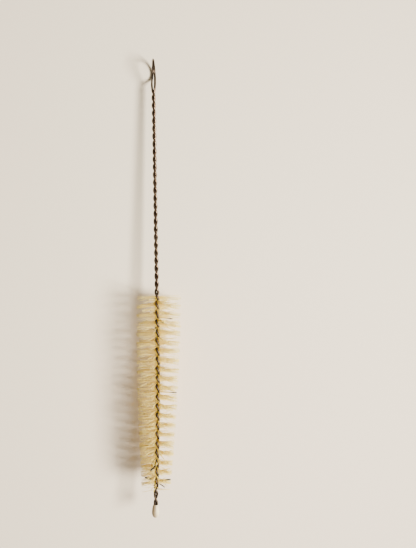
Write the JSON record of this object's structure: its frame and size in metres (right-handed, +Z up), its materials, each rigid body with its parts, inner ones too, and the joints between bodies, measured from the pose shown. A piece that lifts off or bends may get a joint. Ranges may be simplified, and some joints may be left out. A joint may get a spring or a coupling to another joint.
{
  "type": "bottle brush",
  "caption": "Straight bottle brush: a folded wire twisted into a slim handle with a hanging loop, a tapering spiral of pale bristles and a white drop-shaped tip.",
  "frame": {"origin": "on the surface that the brush lies on, under the middle of its bounding box", "axes": "+Y along the handle from the tip towards the hanging loop, +Z up from the surface, +X to the right seen from above with the loop at the top"},
  "size_m": [0.025, 0.2598, 0.0253],
  "materials": {
    "wire": "satin",
    "bristle": "satin",
    "tip": "satin"
  },
  "bodies": {
    "root": {"twisted_wire": "wire", "bristles": "bristle", "tip": "tip"}
  },
  "joints": []
}
